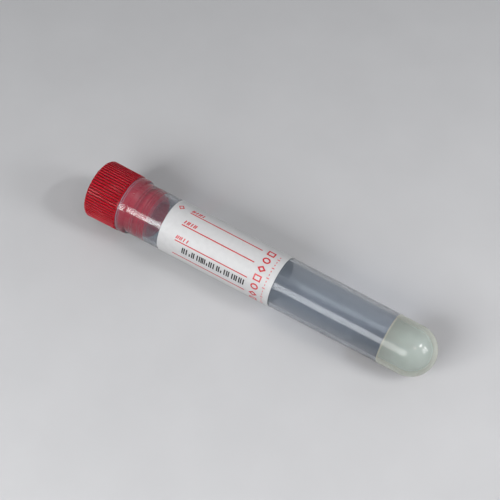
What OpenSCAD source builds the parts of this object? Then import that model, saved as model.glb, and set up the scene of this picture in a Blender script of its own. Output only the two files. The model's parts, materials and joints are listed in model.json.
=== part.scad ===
// Round-bottomed sample tube with a ribbed push-in stopper, a wrap-around label and a plug of
// separator gel. It lies on its side as it comes to rest: on the ribs of its stopper and on its
// round end. Each piece is drawn upright, mouth at z = 0 and round end below, and then laid down.

/* [Tube] */
// Outside diameter of the tube at its mouth, under the collar
tube_d = 16; // [12:0.5:30]
// Length of the tube from its mouth to the tip of its round end
tube_length = 100; // [60:1:160]
// Thickness of the tube's wall
tube_wall = 1; // [0.6:0.1:1.5]
// Draft of the tube's wall, in degrees a side
tube_draft = 0.35; // [0.1:0.05:0.7]
// Direction that the seam of the turned tube faces, in degrees from straight up
tube_turn = -61.5; // [-180:1.5:180]

/* [Collar] */
// How far the collar round the mouth stands out from the tube
collar_out = 0.65; // [0.3:0.05:2]
// Height of the collar
collar_h = 2.65; // [1.5:0.05:6]
// Rounding of the collar's edge towards the tube
collar_low_edge = 0.6; // [0.1:0.05:0.9]
// Rounding of the collar's edge at the mouth
collar_top_edge = 0.25; // [0.05:0.05:0.4]
// Widening of the bore at the mouth, which leads the plug in
mouth_lead = 0.3; // [0.1:0.05:0.5]

/* [Stopper head] */
// Height of the stopper's head above the mouth
head_h = 10.8; // [5:0.1:25]
// How far the ribs stand out past the collar
head_out = 0.17; // [0:0.01:3]
// Draft of the ribs, which lean outwards towards the closed end, in degrees
head_draft = 0.9; // [0:0.05:2]
// Rounding of the head's edge at its closed end
head_edge = 0.6; // [0.3:0.05:1.5]
// Thickness of the head's closed end
head_top = 2; // [1:0.1:4]
// Height of the plain band below the ribs
rim_h = 0.4; // [0.2:0.05:2]
// How far the plain band is set in behind the ribs
rim_inset = 0.1; // [0.05:0.01:0.5]
// Number of grooves between the ribs
groove_count = 63; // [24:1:72]
// Radius of each round groove
groove_r = 0.31; // [0.15:0.01:0.35]
// Depth of each groove
groove_depth = 0.29; // [0.1:0.01:0.35]

/* [Stopper plug] */
// Length of the plug below the mouth
plug_length = 9.7; // [6:0.1:20]
// Gap between the plug's barrel and the bore, which the sealing rings close
plug_gap = 0.35; // [0.2:0.05:0.8]
// Thickness of the plug's wall
plug_wall = 1.15; // [0.7:0.05:2]
// How much the plug narrows below its last sealing ring
plug_lead = 0.35; // [0.1:0.05:0.6]
// Rounding of the edges at the plug's open end
plug_edge = 0.25; // [0.1:0.05:0.3]
// Draft of the hollow inside the plug, in degrees a side
hollow_draft = 1; // [0.2:0.1:2]
// Rounding of the hollow where it stops under the head
hollow_edge = 0.8; // [0.2:0.1:2]
// Distance of each sealing ring from the plug's open end
ring_places = [5.1, 2.35, 0.9]; // [0.9:0.05:7]
// Radius of each sealing ring's round edge
ring_round = 0.28; // [0.15:0.01:0.4]
// Radial clearance between the sealing rings and the bore
ring_clearance = 0.04; // [0.02:0.01:0.1]

/* [Label] */
// Distance from the mouth to the label
label_start = 14.45; // [4:0.05:40]
// Length of the label along the tube
label_length = 37; // [10:0.5:50]
// Thickness of the label
label_thick = 0.1; // [0.05:0.01:0.3]
// Width of the bare strip between the label's two ends
label_window = 4.5; // [1:0.5:20]
// Direction that the middle of the label faces, in degrees from straight up
label_turn = -28; // [-180:1:180]
// Gap between the label and the tube, which the adhesive fills
label_glue = 0.01; // [0.005:0.005:0.05]

/* [Separator gel] */
// Depth of the gel over the inside of the round end
gel_depth = 12.9; // [8:0.1:30]
// How far the gel climbs the wall at its edge
gel_rise = 0.5; // [0.1:0.05:0.8]
// Radius of the gel's curve where it meets the wall
gel_curve = 1.2; // [0.9:0.1:3]
// Gap between the gel and the wall
gel_gap = 0.01; // [0.005:0.005:0.05]

/* [Hidden] */
$fn = 96;

// Radius of the ball that rounds off the tube, touching the drafted wall and the tube's end
dome_r = (tube_d / 2 * cos(tube_draft) - tube_length * sin(tube_draft)) / (1 - sin(tube_draft));
dome_z = dome_r - tube_length;
collar_r = tube_d / 2 + collar_out;

// Radius of the ribs at a height over the mouth
function rib_r(z) = collar_r + head_out + z * tan(head_draft);
ribs_low = rim_h;
ribs_high = head_h - head_edge;

plug_r = wall_r(0, tube_wall) - plug_gap;
hollow_r = plug_r - plug_lead - plug_wall;
hollow_depth = plug_length + head_h - head_top;
hollow_end_r = hollow_r - hollow_depth * tan(hollow_draft);

gel_z = tube_wall + gel_depth - tube_length;
gel_r = wall_r(gel_z, tube_wall + gel_gap);

label_window_deg = label_window / (PI * tube_d) * 360;

// Radius of the tube's wall at height z, taken a depth in from its outside
function wall_r(z, depth) = tube_d / 2 - depth / cos(tube_draft) + z * tan(tube_draft);

// Angle between the axis and a line that passes r from it at height z and touches the round end
function touch_angle(z, r) = atan2(r, z - dome_z) - asin(dome_r / norm([r, z - dome_z]));

// The resting line touches the round end and whichever end of the ribs is lower
rest_tilt = max(touch_angle(ribs_low, rib_r(ribs_low)), touch_angle(ribs_high, rib_r(ribs_high)));

// The laid tube reaches from the rounded edge of the head to the outside of the round end
head_reach = (rib_r(head_h) - head_edge) * sin(rest_tilt) + ribs_high * cos(rest_tilt) + head_edge;
dome_reach = dome_r - dome_z * cos(rest_tilt);

// Lays an upright piece on its side, head towards -X, over the middle of its own outline
module laid() {
    translate([(head_reach - dome_reach) / 2, 0, dome_r - dome_z * sin(rest_tilt)])
        rotate([0, rest_tilt - 90, 0])
            children();
}

// What a rounding of radius r takes off an outer corner that stands at the origin, up and right
module corner_waste(r) {
    translate([-r, -r])
        difference() {
            square(2 * r);
            circle(r);
        }
}

// A turned disc of radius r from z = low to z = high, with its two outer edges rounded
module rounded_disc(r, low, high, low_edge, high_edge) {
    rotate_extrude()
        difference() {
            translate([0, low])
                square([r, high - low]);
            translate([r, high])
                corner_waste(high_edge);
            translate([r, low])
                mirror([0, 1])
                    corner_waste(low_edge);
        }
}

// The round-ended form of the tube, taken a depth in from its outside: a drafted rod less what
// its ball leaves over below the height where the wall touches it
module round_ended(depth) {
    ball_r = dome_r - depth;
    touch_z = dome_z - ball_r * sin(tube_draft);
    rotate_extrude()
        difference() {
            polygon([
                [0, 0], [wall_r(0, depth), 0], [wall_r(-tube_length, depth), -tube_length], [0, -tube_length]
            ]);
            difference() {
                translate([0, touch_z - tube_d])
                    square(tube_d);
                translate([0, dome_z])
                    circle(ball_r);
            }
        }
}

// The funnel that leads the plug into the bore
module mouth_funnel() {
    mouth_r = wall_r(0, tube_wall);
    rotate_extrude()
        polygon([[0, 0], [mouth_r + mouth_lead, 0], [mouth_r, -2 * mouth_lead], [0, -2 * mouth_lead]]);
}

module tube() {
    color([0.74, 0.77, 0.8, 0.45])
        laid()
            rotate([0, 0, tube_turn])
                difference() {
                    union() {
                        round_ended(0);
                        rounded_disc(collar_r, -collar_h, 0, collar_low_edge, collar_top_edge);
                    }
                    round_ended(tube_wall);
                    mouth_funnel();
                }
}

// Round grooves that leave the ribs between them and run out at the head's closed end
module grooves() {
    for (i = [0:groove_count - 1])
        rotate([0, 0, 180 + i * 360 / groove_count])
            translate([rib_r(ribs_low) - groove_depth + groove_r, 0, ribs_low])
                rotate([0, head_draft, 0])
                    cylinder(r = groove_r, h = head_h, $fn = 24);
}

module head() {
    rotate_extrude()
        square([rib_r(ribs_low) - rim_inset, ribs_low]);
    difference() {
        rotate_extrude()
            difference() {
                polygon([
                    [0, ribs_low], [rib_r(ribs_low), ribs_low], [rib_r(head_h), head_h], [0, head_h]
                ]);
                translate([rib_r(head_h), head_h])
                    corner_waste(head_edge);
            }
        grooves();
    }
}

// A round-edged sealing ring at height z, just clear of the bore there
module sealing_ring(z) {
    ring_r = wall_r(z, tube_wall) - ring_clearance;
    rounded_disc(ring_r, z - ring_round, z + ring_round, ring_round, ring_round);
}

module plug() {
    end_r = plug_r - plug_lead;
    lead_z = min(ring_places) - plug_length;
    rotate_extrude()
        difference() {
            polygon([[0, 0], [plug_r, 0], [plug_r, lead_z], [end_r, -plug_length], [0, -plug_length]]);
            translate([end_r, -plug_length])
                mirror([0, 1])
                    corner_waste(plug_edge);
        }
    for (place = ring_places)
        sealing_ring(place - plug_length);
}

// The hollow of the stopper, open at the plug's end and rounded where it stops under the head
module hollow() {
    rotate_extrude()
        translate([0, -plug_length])
            difference() {
                polygon([[0, 0], [hollow_r, 0], [hollow_end_r, hollow_depth], [0, hollow_depth]]);
                translate([hollow_end_r, hollow_depth])
                    corner_waste(hollow_edge);
            }
}

module stopper() {
    color([0.72, 0.06, 0.14])
        laid()
            difference() {
                union() {
                    head();
                    plug();
                }
                hollow();
            }
}

module label() {
    top = -label_start;
    bottom = top - label_length;
    inner_top = wall_r(top, 0) + label_glue;
    inner_bottom = wall_r(bottom, 0) + label_glue;
    color([0.93, 0.93, 0.92])
        laid()
            rotate([0, 0, label_turn - 180 + label_window_deg / 2])
                rotate_extrude(angle = 360 - label_window_deg)
                    polygon([
                        [inner_top, top], [inner_top + label_thick, top],
                        [inner_bottom + label_thick, bottom], [inner_bottom, bottom]
                    ]);
}

module separator_gel() {
    // Middle of the curve at the gel's edge, which ends gel_rise over the flat where it meets the wall
    curve_x = gel_r - sqrt(gel_curve ^ 2 - (gel_curve - gel_rise) ^ 2);
    color([0.66, 0.7, 0.64, 0.9])
        laid()
            difference() {
                round_ended(tube_wall + gel_gap);
                translate([0, 0, gel_z + gel_rise])
                    cylinder(d = tube_d, h = tube_length);
                rotate_extrude()
                    difference() {
                        translate([0, gel_z])
                            square([curve_x + gel_curve, gel_curve]);
                        translate([curve_x, gel_z])
                            square([2 * gel_curve, gel_curve]);
                    }
                rotate_extrude()
                    translate([curve_x, gel_z + gel_curve])
                        circle(gel_curve);
            }
}

tube();
stopper();
label();
separator_gel();
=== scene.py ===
"""Looks of a capped sample tube that lies on its side: milky plastic, red stopper, printed label and gel.

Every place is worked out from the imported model: the tube's axis from its joint and mounts, and the
ends of each piece from its own mesh. Lengths are in metres; MM turns millimetres into them.
"""

import json
import math

import bpy
from mathutils import Matrix, Vector


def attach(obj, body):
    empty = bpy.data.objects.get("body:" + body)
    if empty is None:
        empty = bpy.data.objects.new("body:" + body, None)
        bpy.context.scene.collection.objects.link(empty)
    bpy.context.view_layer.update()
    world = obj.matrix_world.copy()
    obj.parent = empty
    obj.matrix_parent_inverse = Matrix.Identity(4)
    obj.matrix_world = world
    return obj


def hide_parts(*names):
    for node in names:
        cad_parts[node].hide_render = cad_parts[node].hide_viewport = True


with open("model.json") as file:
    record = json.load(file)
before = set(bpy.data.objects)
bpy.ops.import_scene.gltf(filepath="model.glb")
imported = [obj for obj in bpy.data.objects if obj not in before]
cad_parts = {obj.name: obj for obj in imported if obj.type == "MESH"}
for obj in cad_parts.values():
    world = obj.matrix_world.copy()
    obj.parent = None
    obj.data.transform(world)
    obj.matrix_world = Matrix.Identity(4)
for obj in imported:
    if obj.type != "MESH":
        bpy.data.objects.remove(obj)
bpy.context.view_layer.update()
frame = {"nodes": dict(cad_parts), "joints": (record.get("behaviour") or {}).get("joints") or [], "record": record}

MM = 0.001

# ---------------------------------------------------------------- the tube's own frame

mounts = {m["name"]: m for m in frame["record"]["mounts"]}
ALONG = Vector(frame["joints"][0]["axis"]).normalized()  # from the round end to the stopper
SIDE = Vector((0, 1, 0))
UP = SIDE.cross(ALONG)
AXIS_POINT = Vector(mounts["collar"]["pos_m"])
NEAR = 0.3 * MM  # how far from a height a vertex still counts as at it


def heights(node):
    """Lowest and highest place of a CAD node along the axis, measured from AXIS_POINT."""
    places = [(v.co - AXIS_POINT).dot(ALONG) for v in frame["nodes"][node].data.vertices]
    return min(places), max(places)


def radius_near(node, height):
    """Largest distance from the axis of a node's vertices within NEAR of a height."""
    found = []
    for vertex in frame["nodes"][node].data.vertices:
        arm = vertex.co - AXIS_POINT
        place = arm.dot(ALONG)
        if abs(place - height) < NEAR:
            found.append((arm - place * ALONG).length)
    return max(found)


def on_round(height, angle, radius):
    """The point at a height on the axis, at an angle in degrees from straight up towards +Y."""
    turn = math.radians(angle)
    return AXIS_POINT + height * ALONG + radius * (math.cos(turn) * UP + math.sin(turn) * SIDE)


MOUTH = heights("tube")[1]
PLUG_LOW, HEAD_HIGH = heights("stopper")
PLAIN_BAND = 0.5 * MM  # from the mouth to where the ribs have begun
HEAD_EDGE = 0.6 * MM  # rounding of the head's edge, where they run out
RIBS_LOW, RIBS_HIGH = MOUTH + PLAIN_BAND, HEAD_HIGH - HEAD_EDGE
RIBS_R_LOW = radius_near("stopper", RIBS_LOW)
RIBS_R_HIGH = radius_near("stopper", RIBS_HIGH)
LABEL_LOW, LABEL_HIGH = heights("label")
LABEL_R_HIGH = radius_near("label", LABEL_HIGH)
LABEL_R_LOW = radius_near("label", LABEL_LOW)
GEL_LOW, GEL_HIGH = heights("separator_gel")


# ---------------------------------------------------------------- materials

NOISE_SPAN = (0.3, 0.7)  # what a noise mostly stays between


class Nodes:
    """A material or world under construction: add() makes a node and link() joins two sockets."""

    def __init__(self, owner, output="ShaderNodeOutputMaterial"):
        owner.use_nodes = True
        self.tree = owner.node_tree
        self.tree.nodes.clear()
        self.surface = self.add(output).inputs["Surface"]

    def add(self, kind, inputs=None, **settings):
        node = self.tree.nodes.new(kind)
        for name, value in settings.items():
            setattr(node, name, value)
        for name, value in (inputs or {}).items():
            node.inputs[name].default_value = value
        return node

    def link(self, source, target):
        self.tree.links.new(source, target)

    def place(self):
        """Position in the row frame: every node's object sits at the origin, so Object is that frame."""
        return self.add("ShaderNodeTexCoord").outputs["Object"]

    def noise(self, scale, detail=2.0, roughness=0.5, stretch=None):
        """A noise of so many features per metre, drawn out along X by stretch."""
        node = self.add("ShaderNodeTexNoise", {"Scale": scale, "Detail": detail, "Roughness": roughness})
        place = self.place()
        if stretch:
            mapping = self.add("ShaderNodeMapping")
            mapping.inputs["Scale"].default_value = (1 / stretch, 1, 1)
            self.link(place, mapping.inputs["Vector"])
            place = mapping.outputs["Vector"]
        self.link(place, node.inputs["Vector"])
        return node.outputs["Fac"]

    def ramp(self, fac, low, high):
        """A colour between low and high, as fac, a noise, goes over its span."""
        node = self.add("ShaderNodeValToRGB")
        for element, position, colour in zip(node.color_ramp.elements, NOISE_SPAN, (low, high)):
            element.position = position
            element.color = (*colour, 1)
        self.link(fac, node.inputs["Fac"])
        return node.outputs["Color"]

    def profile(self, fac, stops):
        """A number that follows stops, pairs of a value of fac and the number there."""
        node = self.add("ShaderNodeValToRGB")
        for _ in stops[2:]:
            node.color_ramp.elements.new(1.0)
        for element, (position, value) in zip(node.color_ramp.elements, stops):
            element.position = position
            element.color = (value, value, value, 1)
        self.link(fac, node.inputs["Fac"])
        return node.outputs["Color"]

    def blend(self, fac, low, high):
        """The colour of one socket, going over to that of another as fac goes from 0 to 1."""
        node = self.add("ShaderNodeMix", data_type="RGBA")
        self.link(fac, node.inputs["Factor"])
        self.link(low, node.inputs[6])
        self.link(high, node.inputs[7])
        return node.outputs[2]

    def ranged(self, value, span, low=0.0, high=1.0, **settings):
        """A number that goes from low to high, and stays there, as value goes over span."""
        ends = {"From Min": span[0], "From Max": span[1], "To Min": low, "To Max": high}
        node = self.add("ShaderNodeMapRange", ends, **settings)
        self.link(value, node.inputs["Value"])
        return node.outputs["Result"]

    def between(self, fac, low, high):
        """A number between low and high, as fac, a noise, goes over its span."""
        return self.ranged(fac, NOISE_SPAN, low, high)

    def number(self, operation, first, second, **settings):
        """What an operation makes of two sockets."""
        node = self.add("ShaderNodeMath", operation=operation, **settings)
        self.link(first, node.inputs[0])
        self.link(second, node.inputs[1])
        return node.outputs["Value"]

    def vector(self, operation, first, second):
        """A vector sum; first and second are sockets or vectors."""
        node = self.add("ShaderNodeVectorMath", operation=operation)
        for socket, value in zip(node.inputs, (first, second)):
            if isinstance(value, Vector):
                socket.default_value = value
            else:
                self.link(value, socket)
        return node.outputs["Vector"]

    def arm(self):
        """Position from AXIS_POINT."""
        return self.vector("SUBTRACT", self.place(), AXIS_POINT)

    def by_height(self, span, low=0.0, high=1.0):
        """A number that goes from low to high as the height on the tube's axis goes over span."""
        height = self.add("ShaderNodeVectorMath", {1: ALONG}, operation="DOT_PRODUCT")
        self.link(self.arm(), height.inputs[0])
        return self.ranged(height.outputs["Value"], span, low, high)

    def length(self, vector):
        node = self.add("ShaderNodeVectorMath", operation="LENGTH")
        self.link(vector, node.inputs[0])
        return node.outputs["Value"]

    def off_axis(self):
        """Distance from the tube's axis."""
        return self.length(self.vector("CROSS_PRODUCT", self.arm(), ALONG))

    def turned_normal(self):
        """The normal of a turned body, which has no part round the axis: it shows no seam in the mesh."""
        outwards = self.vector("CROSS_PRODUCT", ALONG, self.vector("CROSS_PRODUCT", self.arm(), ALONG))
        normal = self.add("ShaderNodeNewGeometry").outputs["Normal"]
        parts = [self.vector("PROJECT", normal, way) for way in (ALONG, outwards)]
        return self.vector("ADD", *parts)

    def bump(self, height, distance, strength, normal=None):
        node = self.add("ShaderNodeBump", {"Strength": strength, "Distance": distance})
        self.link(height, node.inputs["Height"])
        if normal:
            self.link(normal, node.inputs["Normal"])
        return node.outputs["Normal"]

    def principled(self, **inputs):
        names = {name.replace("_", " "): value for name, value in inputs.items()}
        return self.add("ShaderNodeBsdfPrincipled", names)

    def mix(self, share, first, second):
        """Two shaders mixed; share, a socket, is how much of the second."""
        node = self.add("ShaderNodeMixShader")
        self.link(share, node.inputs["Fac"])
        self.link(first, node.inputs[1])
        self.link(second, node.inputs[2])
        return node.outputs["Shader"]

    def letting_lamps_through(self, shader, share, where=None):
        """The shader, but each face also passes a share of a lamp's light straight on."""
        clear = self.add("ShaderNodeBsdfTransparent", {"Color": (*share, 1)})
        shadow = self.add("ShaderNodeLightPath").outputs["Is Shadow Ray"]
        if where:
            shadow = self.number("MULTIPLY", shadow, where)
        return self.mix(shadow, shader, clear.outputs["BSDF"])

    def seen(self):
        """1 for what shows straight, in a gloss or through glass, and 0 for light on its way."""
        path = self.add("ShaderNodeLightPath")
        total = path.outputs["Is Camera Ray"]
        for name in ("Is Glossy Ray", "Is Transmission Ray"):
            total = self.number("ADD", total, path.outputs[name], use_clamp=True)
        return total


def rgb(red, green, blue):
    """A colour given as it shows on a screen, 0 to 255, as the linear numbers that a shader takes."""
    return tuple(
        c / 12.92 if c <= 0.04045 else ((c + 0.055) / 1.055) ** 2.4
        for c in (red / 255, green / 255, blue / 255)
    )


WALL_IOR = 1.49
WALL_GLOSS = 0.58  # how strongly the soft plastic mirrors beside hard plastic of its IOR
WALL_HAZE = 0.09  # share of the wall's surface that scatters instead of letting through
FUNNEL_HIGHLIGHT_HAZE, MOUTH_HIGHLIGHT_HAZE = 0.34, 0.62  # the same, raised to paint pale highlight lines, at the lower edge of the mouth's funnel and at the mouth
RIM_REACH = 1.2 * MM  # how far below the mouth these two begin
RIM_HIGHLIGHT_HAZE = (
    (1.05 * MM, WALL_HAZE), (0.95 * MM, FUNNEL_HIGHLIGHT_HAZE), (0.8 * MM, FUNNEL_HIGHLIGHT_HAZE),
    (0.7 * MM, WALL_HAZE), (0.4 * MM, WALL_HAZE), (0.25 * MM, MOUTH_HIGHLIGHT_HAZE),
)  # distance below the mouth, and share there
WET_HAZE_PAINTED_GLOW = (0.12, 0.68)  # what the wall over the gel adds to that, seen straight and edge on; it grows edge on as a real haze does, and its pale cream colour paints a glow on the gel's shaded edges
EDGE_ON = (0.3, 0.9)  # Layer Weight's Facing, over which it grows
WET_FADE = 0.3 * MM  # stretch below the gel's edge over which it comes in


def milky_wall(m):
    """Polypropylene: smooth, a little tinted, with a haze of its own over what lies behind it; extra haze paints
    pale highlight lines below the mouth and a pale glow over the gel's edges.
    """
    flow = m.bump(m.noise(700, detail=0, stretch=200), 0.004 * MM, 0.1, m.turned_normal())
    polish = m.between(m.noise(300, detail=2, stretch=40), 0.1, 0.14)
    body = m.principled(IOR=WALL_IOR, Transmission_Weight=1.0, Sheen_Weight=0.12, Sheen_Roughness=0.4)
    body.inputs["Sheen Tint"].default_value = (1.0, 0.95, 0.86, 1)
    tint = m.noise(180, detail=3, stretch=6)
    m.link(m.ramp(tint, rgb(209, 212, 215), rgb(214, 217, 220)), body.inputs["Base Color"])
    haze = m.principled(IOR=WALL_IOR)
    cloud = m.noise(240, detail=4, stretch=8)
    wet = m.by_height((GEL_HIGH, GEL_HIGH - WET_FADE))
    dry_haze = m.ramp(cloud, rgb(144, 158, 176), rgb(153, 166, 184))
    # painted glow: over the gel the haze is a pale cream
    wet_haze_painted_glow = m.ramp(cloud, rgb(215, 217, 201), rgb(221, 223, 207))
    m.link(m.blend(wet, dry_haze, wet_haze_painted_glow), haze.inputs["Base Color"])
    for shader in (body, haze):
        shader.inputs["Specular Tint"].default_value = (WALL_GLOSS, WALL_GLOSS, WALL_GLOSS, 1)
        m.link(polish, shader.inputs["Roughness"])
        m.link(flow, shader.inputs["Normal"])
    # painted highlights: bands of extra haze draw two pale lines below the mouth
    stops = [(1 - below / RIM_REACH, share) for below, share in RIM_HIGHLIGHT_HAZE]
    rim = m.profile(m.by_height((MOUTH - RIM_REACH, MOUTH)), stops)
    facing = m.add("ShaderNodeLayerWeight", {"Blend": 0.5}).outputs["Facing"]
    extra = m.number("MULTIPLY", m.ranged(facing, EDGE_ON, *WET_HAZE_PAINTED_GLOW), wet)
    wall = m.mix(m.number("ADD", rim, extra), body.outputs["BSDF"], haze.outputs["BSDF"])
    m.link(m.letting_lamps_through(wall, rgb(241, 243, 246)), m.surface)


PLUG_GLOW = (0.78, 0.2, 0.22)  # lamp light that each face of the thin plug passes on
PLUG_EDGE = 0.01 * MM  # stretch below the mouth over which the plug's lighter red, a painted light, comes in
RIB_LIGHT_DEPTH = (0.02 * MM, 0.2 * MM)  # depth below the ribs' line over which the painted highlight of a crest gives way to the painted shade of a groove
RIB_LIGHT_FADE = (RIBS_HIGH + 0.1 * MM, RIBS_HIGH + 0.4 * MM)  # heights between which the painted highlight and shade of the ribs run out


def red_moulding(m):
    """Soft red polyethylene, satin from the mould, lit through its thin walls and ribs, with painted highlights on
    the crests, painted shade in the grooves, and a lighter red painted where it is pressed into the tube.
    """
    shader = m.principled(
        IOR=1.51, Subsurface_Weight=0.4, Subsurface_Scale=1.2 * MM, Specular_IOR_Level=0.16
    )
    shader.inputs["Subsurface Radius"].default_value = (1.0, 0.12, 0.12)
    cloud = m.noise(260, detail=4)
    plain = m.ramp(cloud, rgb(154, 5, 22), rgb(164, 8, 27))
    # painted highlight: the ribs' crests are a lighter red
    crest_painted_highlight = m.ramp(cloud, rgb(182, 18, 38), rgb(192, 24, 46))
    # painted shade: the ribs' grooves are a darker red
    groove_painted_shade = m.ramp(cloud, rgb(122, 1, 10), rgb(132, 2, 14))
    # painted light: the plug, the same moulding as the head, is a lighter red that makes up for the light the wall
    # keeps from it
    plug_painted_lighter = m.ramp(cloud, rgb(188, 14, 44), rgb(196, 20, 50))
    crest_r = m.by_height((RIBS_LOW, RIBS_HIGH), RIBS_R_LOW, RIBS_R_HIGH)
    depth = m.number("SUBTRACT", crest_r, m.off_axis())
    ribs = m.blend(m.ranged(depth, RIB_LIGHT_DEPTH), crest_painted_highlight, groove_painted_shade)
    head = m.blend(m.by_height(RIB_LIGHT_FADE), ribs, plain)
    pressed = m.by_height((MOUTH, MOUTH - PLUG_EDGE))
    m.link(m.blend(pressed, head, plug_painted_lighter), shader.inputs["Base Color"])
    m.link(m.between(m.noise(900, detail=1, stretch=30), 0.24, 0.3), shader.inputs["Roughness"])
    m.link(m.bump(m.noise(1500, detail=1, stretch=30), 0.001 * MM, 0.1), shader.inputs["Normal"])
    m.link(m.letting_lamps_through(shader.outputs["BSDF"], PLUG_GLOW, pressed), m.surface)


PAPER_GLOW = (0.76, 0.75, 0.73)  # lamp light that each face of the paper passes on


def label_paper(m):
    """Coated white paper: faint mottling and fibres under a dull sheen."""
    shader = m.principled(IOR=1.45, Sheen_Weight=0.05, Sheen_Roughness=0.5)
    mottle = m.noise(700, detail=5, roughness=0.6)
    m.link(m.ramp(mottle, rgb(203, 204, 205), rgb(210, 211, 212)), shader.inputs["Base Color"])
    m.link(m.between(m.noise(1500), 0.42, 0.55), shader.inputs["Roughness"])
    m.link(m.bump(m.noise(5000, detail=4, stretch=3), 0.006 * MM, 0.5), shader.inputs["Normal"])
    m.link(m.letting_lamps_through(shader.outputs["BSDF"], PAPER_GLOW), m.surface)


def gel_look(m):
    """Separator gel: cloudy, greenish grey, lit from within."""
    shader = m.principled(
        Roughness=0.25, IOR=1.45, Subsurface_Weight=1.0, Subsurface_Scale=46 * MM, Specular_IOR_Level=0.15
    )
    shader.inputs["Subsurface Radius"].default_value = (1.0, 1.0, 1.0)
    cloud = m.noise(220, detail=3)
    m.link(m.ramp(cloud, rgb(199, 233, 222), rgb(205, 237, 228)), shader.inputs["Base Color"])
    m.link(m.bump(m.noise(500, detail=2), 0.02 * MM, 0.3), shader.inputs["Normal"])
    m.link(shader.outputs["BSDF"], m.surface)


def gel_edge_highlight_look(m):
    """The thin edge of the gel on the wall, paler and creamier: a painted highlight."""
    shader = m.principled(Roughness=0.35, IOR=1.45, Specular_IOR_Level=0.2)
    cloud = m.noise(900, detail=3)
    # painted highlight: a pale cream where the gel's edge meets the wall
    m.link(m.ramp(cloud, rgb(206, 203, 184), rgb(218, 215, 196)), shader.inputs["Base Color"])
    m.link(shader.outputs["BSDF"], m.surface)


def ink(m, dark, light):
    """Printing ink: slightly uneven in cover, a little glossier than the paper."""
    shader = m.principled(IOR=1.48)
    m.link(m.ramp(m.noise(3000, detail=3), dark, light), shader.inputs["Base Color"])
    m.link(m.between(m.noise(2500), 0.32, 0.48), shader.inputs["Roughness"])
    m.link(m.bump(m.noise(9000), 0.002 * MM, 0.5), shader.inputs["Normal"])
    m.link(shader.outputs["BSDF"], m.surface)


def look(name, make, *values):
    """A new material that the function make fills with nodes."""
    material = bpy.data.materials.new(name)
    make(Nodes(material), *values)
    return material


CLEAR_WALL = look("clear_wall_look", milky_wall)
RED_STOPPER = look("red_stopper_look", red_moulding)
PAPER = look("label_paper_look", label_paper)
GEL = look("gel_look", gel_look)
GEL_EDGE_HIGHLIGHT = look("gel_edge_highlight_look", gel_edge_highlight_look)

for node, material in (("tube", CLEAR_WALL), ("stopper", RED_STOPPER), ("label", PAPER)):
    frame["nodes"][node].material_slots[0].material = material


# ---------------------------------------------------------------- gel and plug against the wall
# In the CAD model the gel and the plug stand a hair off the wall. The real gel wets it, and the real
# plug is squeezed into it, so that no air shows between them and they look as wide as the tube: the gel
# here, and a skin on the plug, reach just into the wall.

TURN_SIDES = 96
WALL_DRAFT = math.atan((LABEL_R_HIGH - LABEL_R_LOW) / (LABEL_HIGH - LABEL_LOW))
GEL_RIM = radius_near("separator_gel", GEL_HIGH)
GEL_RISE, GEL_CURVE = 0.5 * MM, 1.2 * MM  # how far the gel climbs the wall, and the radius it does so in
RISE_STEPS, ROUND_END_STEPS = 8, 32
SUNK = 0.04 * MM  # how far the gel and the skin reach into the wall

RING_PLACES = (5.1 * MM, 2.35 * MM, 0.9 * MM)  # the sealing rings, from the plug's open end
RING_HALF = 0.28 * MM
RING_GROOVE = 0.2 * MM  # width and depth of the skin's groove beside each ring
SKIN_THICK = 0.6 * MM
SKIN_OVER = 0.2 * MM  # how far the skin goes up into the head
SKIN_BEVEL = 0.1 * MM  # at its lower end
SEAT_R = 7.8 * MM  # how far out the skin lies on the mouth's rim
FUNNEL_OUT, FUNNEL_DEEP = 0.3 * MM, 0.6 * MM  # widening of the bore at the mouth


def wet_wall(height):
    """Radius just inside the wall's plastic at a height."""
    return GEL_RIM + (height - GEL_HIGH) * math.tan(WALL_DRAFT) + SUNK


def added(name, data):
    """A new object in the scene."""
    piece = bpy.data.objects.new(name, data)
    bpy.context.scene.collection.objects.link(piece)
    return piece


def mesh_of(name, points, faces, material):
    mesh = bpy.data.meshes.new(name)
    mesh.from_pydata([tuple(p) for p in points], [], faces)
    mesh.validate()
    mesh.materials.append(material)
    return mesh


def turned(name, outline, material, body):
    """A piece turned from (radius, height) points; an end on the axis, with radius 0, closes in a point."""
    rings = [place for place in outline if place[0] > 0]
    looped = len(rings) == len(outline)
    points = [
        on_round(height, 360 * j / TURN_SIDES, radius)
        for radius, height in rings
        for j in range(TURN_SIDES)
    ]
    faces = []
    for i in range(len(rings) if looped else len(rings) - 1):
        low, high = i * TURN_SIDES, (i + 1) % len(rings) * TURN_SIDES
        for j in range(TURN_SIDES):
            k = (j + 1) % TURN_SIDES
            faces.append((low + j, high + j, high + k, low + k))
    if not looped:
        last = (len(rings) - 1) * TURN_SIDES
        points += [on_round(outline[0][1], 0, 0), on_round(outline[-1][1], 0, 0)]
        for j in range(TURN_SIDES):
            k = (j + 1) % TURN_SIDES
            faces.append((len(points) - 2, j, k))
            faces.append((len(points) - 1, last + k, last + j))
    mesh = mesh_of(name, points, faces, material)
    mesh.shade_smooth()
    piece = added(name, mesh)
    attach(piece, body)
    return piece


def arc(middle_r, middle_h, radius, start, end, steps):
    """Points (radius, height) on an arc of the outline; angles in degrees from level outwards."""
    turns = [math.radians(start + (end - start) * k / steps) for k in range(steps + 1)]
    return [(middle_r + radius * math.cos(a), middle_h + radius * math.sin(a)) for a in turns]


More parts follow.
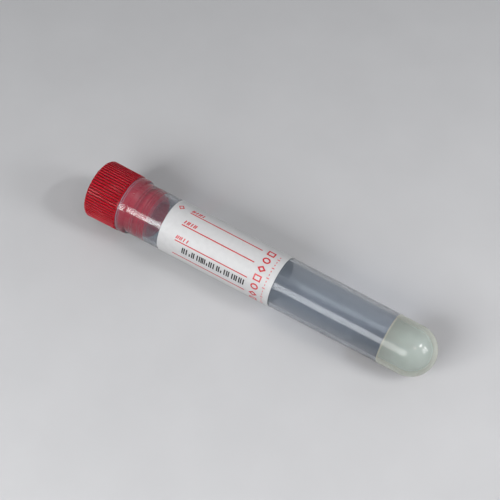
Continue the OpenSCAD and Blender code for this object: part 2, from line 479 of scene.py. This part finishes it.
def gel_fill():
    """The gel: a flat surface that curves up to the wall, then the wall's draft and its round end."""
    rim = wet_wall(GEL_HIGH)
    low = GEL_LOW - SUNK
    flat = GEL_HIGH - GEL_RISE
    draft = math.degrees(WALL_DRAFT)
    climb = math.degrees(math.acos(1 - GEL_RISE / GEL_CURVE))
    curve_r = rim - GEL_CURVE * math.sin(math.radians(climb))
    surface = [(0, flat), (curve_r / 2, flat)]
    surface += arc(curve_r, flat + GEL_CURVE, GEL_CURVE, -90, climb - 90, RISE_STEPS)
    lean = math.tan(WALL_DRAFT)
    ball = (rim - (GEL_HIGH - low) * lean) / (1 / math.cos(WALL_DRAFT) - lean)
    round_end = arc(0, low + ball, ball, -draft, -90, ROUND_END_STEPS)[:-1]
    piece = turned("gel_fill", surface + round_end + [(0, low)], GEL, "tube")
    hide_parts("separator_gel")


def gel_edge_highlight():
    """The line that the gel's edge draws on the wall, coloured as a painted highlight."""
    width, thick, proud, above = 0.35 * MM, 0.2 * MM, 0.01 * MM, 0.02 * MM
    high = GEL_HIGH + above
    r_high, r_low = wet_wall(high) + proud, wet_wall(high - width) + proud
    outline = [(r_high - thick, high), (r_high, high), (r_low, high - width), (r_low - thick, high - width)]
    piece = turned("gel_edge_highlight", outline, GEL_EDGE_HIGHLIGHT, "tube")


def plug_skin():
    """The stopper's outside where it is pressed on the mouth and the bore, grooved beside its rings."""
    top, seat, funnel = MOUTH + SKIN_OVER, MOUTH - SUNK, MOUTH - FUNNEL_DEEP
    low = PLUG_LOW + RING_PLACES[-1] - RING_HALF
    low_r = wet_wall(low)
    outline = [(wet_wall(top) - SKIN_THICK, top), (SEAT_R, top), (SEAT_R, seat)]
    outline += [(wet_wall(MOUTH) + FUNNEL_OUT, seat), (wet_wall(funnel), funnel)]
    for place in RING_PLACES:
        for edge in (PLUG_LOW + place + RING_HALF + RING_GROOVE, PLUG_LOW + place - RING_HALF):
            if edge - RING_GROOVE > low:
                for share, depth in ((0, 0), (0.2, RING_GROOVE), (0.8, RING_GROOVE), (1, 0)):
                    outline.append((wet_wall(edge) - depth, edge - share * RING_GROOVE))
    outline += [(low_r, low + SKIN_BEVEL), (low_r - SKIN_BEVEL, low), (low_r - SKIN_THICK, low)]
    piece = turned("plug_skin", outline, RED_STOPPER, "stopper")


gel_fill()
gel_edge_highlight()
plug_skin()


# ---------------------------------------------------------------- print on the label
# A place on the label is (u, w): u from its stopper end along the tube, w round it from an angle,
# both in millimetres, with w towards +Y.

INK_PROUD, INK_SUNK = 0.02 * MM, 0.02 * MM  # how far the ink stands over the paper and goes into it
CURVE_STEP = 0.4  # longest stretch of a stroke between two cuts, so that it follows the round label


class Print:
    """Gathers strokes laid on the label and makes one mesh of them."""

    def __init__(self, name, material):
        self.name, self.material = name, material
        self.points, self.faces = [], []

    def lift(self, u, w, angle, proud):
        """The point that stands proud of the paper at a place on the label."""
        share = u * MM / (LABEL_HIGH - LABEL_LOW)
        radius = LABEL_R_HIGH + (LABEL_R_LOW - LABEL_R_HIGH) * share
        around = angle + math.degrees(w * MM / radius)
        return on_round(LABEL_HIGH - u * MM, around, radius + proud)

    def stroke(self, path, width, angle):
        """A flat stroke of even width along a path of (u, w) points, closed where it ends at its start."""
        closed = path[0] == path[-1]
        path = subdivided(path)
        if closed:
            path.pop()
        count = len(path)
        first = len(self.points)
        for i, (u, w) in enumerate(path):
            du, dw = across(path, i, closed)
            for way, proud in ((1, -INK_SUNK), (1, INK_PROUD), (-1, INK_PROUD), (-1, -INK_SUNK)):
                half = way * width / 2
                self.points.append(self.lift(u + half * du, w + half * dw, angle, proud))
        for i in range(count if closed else count - 1):
            a, b = first + 4 * i, first + 4 * ((i + 1) % count)
            self.faces += [(a + k, a + (k + 1) % 4, b + (k + 1) % 4, b + k) for k in range(4)]
        if not closed:
            last = first + 4 * (count - 1)
            self.faces += [(first + 3, first + 2, first + 1, first), (last, last + 1, last + 2, last + 3)]

    def mark(self, shape, place, size, width, angle, slant=0.0):
        """A plain shape drawn in strokes of a width into a cell that starts at place, (u, w)."""
        spare_u, spare_w = size[0] - width, size[1] - width
        for path in shape:
            lifted = [
                (place[0] + width / 2 + (x + slant * y) * spare_u, place[1] + width / 2 + y * spare_w)
                for x, y in path
            ]
            self.stroke(lifted, width, angle)

    def row(self, shapes, start, step, size, width, angle, slant=0.0):
        """Shapes side by side, in cells from start on, one step in (u, w) apart."""
        for i, shape in enumerate(shapes):
            place = (start[0] + step[0] * i, start[1] + step[1] * i)
            self.mark(shape, place, size, width, angle, slant)

    def finish(self):
        piece = added(self.name, mesh_of(self.name, self.points, self.faces, self.material))
        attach(piece, "tube")


def subdivided(path):
    """The path with cuts no further apart than CURVE_STEP round the label."""
    fine = []
    for (u0, w0), (u1, w1) in zip(path, path[1:]):
        cuts = max(1, math.ceil(abs(w1 - w0) / CURVE_STEP))
        fine += [(u0 + (u1 - u0) * k / cuts, w0 + (w1 - w0) * k / cuts) for k in range(cuts)]
    return fine + [path[-1]]


def across(path, i, closed):
    """The direction across a path at point i, lengthened at a corner so that the width stays even."""
    count = len(path)
    before = path[(i - 1) % count] if closed or i > 0 else None
    after = path[(i + 1) % count] if closed or i < count - 1 else None
    normals = []
    for a, b in ((before, path[i]), (path[i], after)):
        if a and b:
            length = math.dist(a, b)
            normals.append(((a[1] - b[1]) / length, (b[0] - a[0]) / length))
    u = sum(n[0] for n in normals) / len(normals)
    w = sum(n[1] for n in normals) / len(normals)
    square = u * u + w * w
    return u / square, w / square


# Plain shapes in a cell that is one wide and one high: each is a list of strokes
BAR = [[(0.5, 0), (0.5, 1)]]
LOW_BAR = [[(0.5, 0), (0.5, 0.5)]]
PAIR = [[(0, 0), (0, 1)], [(1, 0), (1, 1)]]
DASH = [[(0, 0.5), (1, 0.5)]]
BOX = [[(0, 0), (1, 0), (1, 1), (0, 1), (0, 0)]]
DIAMOND = [[(0.5, 0), (1, 0.5), (0.5, 1), (0, 0.5), (0.5, 0)]]
RING_STEP = 20
RING_TURNS = [math.radians(turn) for turn in (*range(0, 360, RING_STEP), 0)]
RING = [[(0.5 + 0.5 * math.cos(a), 0.5 + 0.5 * math.sin(a)) for a in RING_TURNS]]

RULE_ANGLES = (14.5, -18.5, -53.5, -88.0)
RULE_START, RULE_END, RULE_WIDTH = 5.3, 29.4, 0.3

red = Print("label_print_red", look("red_ink", ink, rgb(190, 14, 30), rgb(202, 26, 42)))
pale = Print("label_print_fine", look("pale_red_ink", ink, rgb(206, 60, 70), rgb(216, 84, 90)))
black = Print("label_print_black", look("black_ink", ink, rgb(12, 12, 13), rgb(22, 22, 23)))

for rule in RULE_ANGLES:
    red.stroke([(RULE_START, 0), (RULE_END, 0)], RULE_WIDTH, rule)

# A caption of four slanted shapes stands on each of the first three rules
CAPTIONS = ((PAIR, BAR, PAIR, BAR), (BAR, PAIR, BAR, PAIR), (PAIR, PAIR, BAR, BAR))
CAPTION_SIZE, CAPTION_PITCH, CAPTION_RISE = (0.85, 1.4), 1.1, 0.42
CAPTION_WIDTH, CAPTION_SLANT = 0.34, 0.6
for rule, caption in zip(RULE_ANGLES, CAPTIONS):
    place, step = (RULE_START, CAPTION_RISE), (CAPTION_PITCH, 0)
    red.row(caption, place, step, CAPTION_SIZE, CAPTION_WIDTH, rule, CAPTION_SLANT)

# A row of black bars in groups between the last two rules
GROUPS = (
    (PAIR, BAR, LOW_BAR, PAIR), (BAR, PAIR, PAIR, LOW_BAR, PAIR, BAR), (PAIR, LOW_BAR, BAR, PAIR),
    (BAR, PAIR), (PAIR, BAR),
)
BLACK_START, BLACK_ANGLE, BLACK_SIZE, BLACK_WIDTH = 8.25, -68.5, (1.0, 2.3), 0.4
BLACK_PITCH, BLACK_GAP = 1.08, 0.4
u = BLACK_START
for group in GROUPS:
    black.row(group, (u, -BLACK_SIZE[1] / 2), (BLACK_PITCH, 0), BLACK_SIZE, BLACK_WIDTH, BLACK_ANGLE)
    u += BLACK_PITCH * len(group) + BLACK_GAP

# A band of large open shapes goes round the label, with a fine line of bars and dashes beside it
BAND = (BOX, RING, DIAMOND, BOX, RING, DIAMOND, BOX, RING)
BAND_PLACE, BAND_STEP, BAND_SIZE, BAND_WIDTH, BAND_ANGLE = (31.0, -1.9), (0, -2.8), (2.4, 1.9), 0.42, 24
FINE = (BAR, DASH, BAR) * 6
FINE_PLACE, FINE_STEP, FINE_SIZE, FINE_WIDTH, FINE_ANGLE = (34.4, -0.8), (0, -1.05), (1.15, 0.7), 0.28, 22
red.row(BAND, BAND_PLACE, BAND_STEP, BAND_SIZE, BAND_WIDTH, BAND_ANGLE)
pale.row(FINE, FINE_PLACE, FINE_STEP, FINE_SIZE, FINE_WIDTH, FINE_ANGLE)

# One small diamond stands at the label's edge
SMALL_PLACE, SMALL_SIZE, SMALL_WIDTH, SMALL_ANGLE = (1.2, -0.9), (1.8, 1.8), 0.26, 17.5
red.mark(DIAMOND, SMALL_PLACE, SMALL_SIZE, SMALL_WIDTH, SMALL_ANGLE)

for sheet in (red, pale, black):
    sheet.finish()


# ---------------------------------------------------------------- floor

FLOOR_HALF = 3.0
FLOOR_CORNERS = [(x * FLOOR_HALF, y * FLOOR_HALF, 0) for x, y in ((-1, -1), (1, -1), (1, 1), (-1, 1))]
ROOM_COLOUR, ROOM_SEEN = rgb(236, 239, 243), 0.75  # what shows beyond the lamps' reach
FADE = (0.16, 0.5)  # distances between which the floor goes over to the room's colour


def floor_look(m):
    """The floor shows pale, but throws less light back up, as a floor in a wide dark room does."""
    shader = m.principled(IOR=1.4, Specular_IOR_Level=0.3)
    m.link(m.ramp(m.noise(40, detail=3), rgb(200, 201, 203), rgb(204, 205, 207)), shader.inputs["Base Color"])
    m.link(m.between(m.noise(90), 0.45, 0.55), shader.inputs["Roughness"])
    room = m.add("ShaderNodeEmission", {"Color": (*ROOM_COLOUR, 1), "Strength": ROOM_SEEN})
    fade = m.ranged(m.length(m.place()), FADE, interpolation_type="SMOOTHSTEP")
    shown = m.mix(fade, shader.outputs["BSDF"], room.outputs["Emission"])
    dull = m.principled(Roughness=0.6, Specular_IOR_Level=0.0)
    dull.inputs["Base Color"].default_value = (*rgb(120, 120, 121), 1)
    m.link(m.mix(m.seen(), dull.outputs["BSDF"], shown), m.surface)


added("floor", mesh_of("floor", FLOOR_CORNERS, [(0, 1, 2, 3)], look("floor_look", floor_look)))


# ---------------------------------------------------------------- light

WHITE, WARM_WHITE, PINK = (1, 1, 1), (1.0, 0.97, 0.95), (1.0, 0.82, 0.8)
SOFTBOXES = (
    # name, height over the mouth, angle and distance about the axis, height over the mouth of the point
    # on the axis that it faces, length along the axis, width, power in watts, colour
    ("key", 0.045, -55.5, 0.42, 0.045, 0.3, 0.185, 1.34, WHITE),
    ("key_core", 0.162, -59, 0.42, 0.162, 0.06, 0.12, 0.24, WARM_WHITE),
    ("fill", -0.35, 60, 0.6, -0.35, 0.5, 0.5, 0.36, WHITE),
    ("dome_white", -0.333, 12.6, 0.353, -0.333, 0.045, 0.11, 0.55, WHITE),
    ("dome_pink", -0.239, -15.6, 0.401, -0.239, 0.045, 0.045, 0.13, PINK),
    ("dome_patch", -0.45, 17, 0.233, -0.09, 0.16, 0.17, 0.75, WHITE),
)
ROOM_LIGHT = 0.16


def softbox(name, height, angle, distance, aim, length, width, power, colour):
    """A rectangular lamp."""
    lamp = bpy.data.lights.new(name, "AREA")
    lamp.shape, lamp.size, lamp.size_y = "RECTANGLE", length, width
    lamp.energy, lamp.color = power, colour
    place = on_round(MOUTH + height, angle, distance)
    back = (place - on_round(MOUTH + aim, 0, 0)).normalized()
    other = back.cross(ALONG).normalized()
    long_way = other.cross(back)
    rotation = [[long_way[i], other[i], back[i]] for i in range(3)]
    added(name, lamp).matrix_world = Matrix.Translation(place) @ Matrix(rotation).to_4x4()


for values in SOFTBOXES:
    softbox(*values)


def studio():
    """The room lights the scene softly; where it is seen, also in glosses and through glass, it is pale."""
    world = bpy.data.worlds.new("studio")
    bpy.context.scene.world = world
    m = Nodes(world, "ShaderNodeOutputWorld")
    background = m.add("ShaderNodeBackground", {"Color": (*ROOM_COLOUR, 1)})
    m.link(m.ranged(m.seen(), (0, 1), ROOM_LIGHT, ROOM_SEEN), background.inputs["Strength"])
    m.link(background.outputs["Background"], m.surface)


studio()


# ---------------------------------------------------------------- camera

VIEW_AIM = Vector((-7.64, 6.75, 4.55)) * MM
VIEW_AZIMUTH, VIEW_ELEVATION, VIEW_DISTANCE = 31.49, 55.92, 0.353
LENS = 87.2  # on Blender's 36 mm sensor
CLIP_START = 0.01


def camera():
    azimuth, elevation = math.radians(VIEW_AZIMUTH), math.radians(VIEW_ELEVATION)
    back = Vector((
        math.sin(azimuth) * math.cos(elevation),
        -math.cos(azimuth) * math.cos(elevation),
        math.sin(elevation),
    ))
    data = bpy.data.cameras.new("camera")
    data.lens = LENS
    data.clip_start = CLIP_START
    piece = added("camera", data)
    piece.location = VIEW_AIM + VIEW_DISTANCE * back
    piece.rotation_euler = back.to_track_quat("Z", "Y").to_euler()
    bpy.context.scene.camera = piece


camera()

scene = bpy.context.scene
scene.view_settings.view_transform = "Standard"
scene.cycles.use_denoising = True
scene.cycles.use_light_tree = False
scene.cycles.caustics_refractive = scene.cycles.caustics_reflective = False

bpy.context.view_layer.update()
